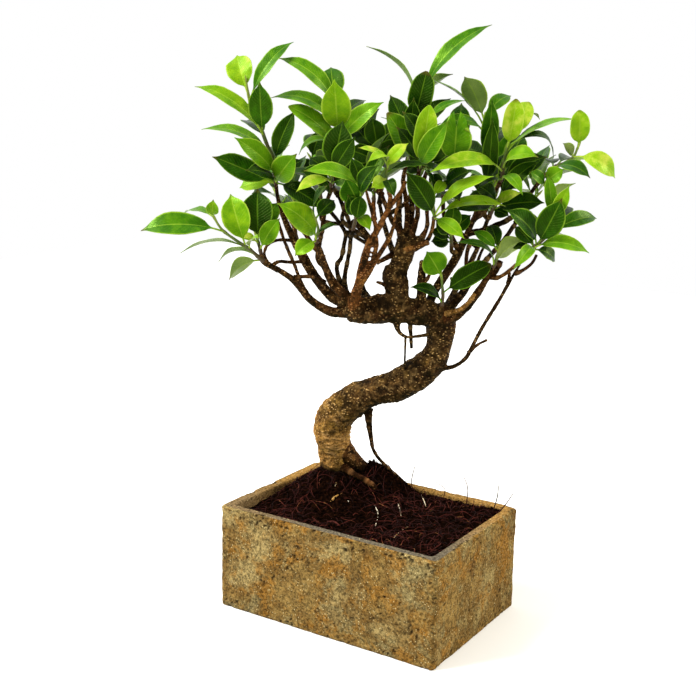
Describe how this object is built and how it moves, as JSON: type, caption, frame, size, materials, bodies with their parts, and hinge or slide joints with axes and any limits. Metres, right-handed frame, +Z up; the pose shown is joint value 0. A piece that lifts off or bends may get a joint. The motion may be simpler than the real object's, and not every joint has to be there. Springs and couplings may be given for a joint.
{
  "type": "chinese banyan bonsai",
  "caption": "Small Chinese banyan bonsai with a curved trunk, a cross limb and a spreading leafy crown, growing from soil in a rectangular stone trough.",
  "frame": {"origin": "middle of the trough's underside", "axes": "+X along the trough's long side, +Z up; the tree's front faces the picture's camera, towards +X and -Y"},
  "size_m": [0.2943, 0.2792, 0.4678],
  "materials": {
    "stone": "matte",
    "soil": "matte",
    "bark": "matte",
    "leaf": "satin"
  },
  "bodies": {
    "root": {"pot": "stone", "soil": "soil", "wood": "bark", "shoot_centre_fill": "leaf", "shoot_centre_low": "leaf", "shoot_far_left": "leaf", "shoot_far_left_high": "leaf", "shoot_far_left_mid": "leaf", "shoot_far_middle": "leaf", "shoot_far_middle_high": "leaf", "shoot_far_middle_top": "leaf", "shoot_far_right": "leaf", "shoot_far_right_high": "leaf", "shoot_far_right_mid": "leaf", "shoot_far_right_side": "leaf", "shoot_heart": "leaf", "shoot_inner_front": "leaf", "shoot_inner_right": "leaf", "shoot_left_inner": "leaf", "shoot_left_mid": "leaf", "shoot_left_rear": "leaf", "shoot_left_tip": "leaf", "shoot_low_fill": "leaf", "shoot_mid_front": "leaf", "shoot_mid_left": "leaf", "shoot_near_left": "leaf", "shoot_near_middle": "leaf", "shoot_right_far": "leaf", "shoot_right_heart": "leaf", "shoot_right_low_shoot": "leaf", "shoot_right_mid": "leaf", "shoot_right_top": "leaf", "shoot_sucker": "leaf", "shoot_top_front": "leaf", "shoot_top_left": "leaf", "shoot_top_mid": "leaf", "shoot_top_right": "leaf", "shoot_upper_left": "leaf"}
  },
  "joints": []
}
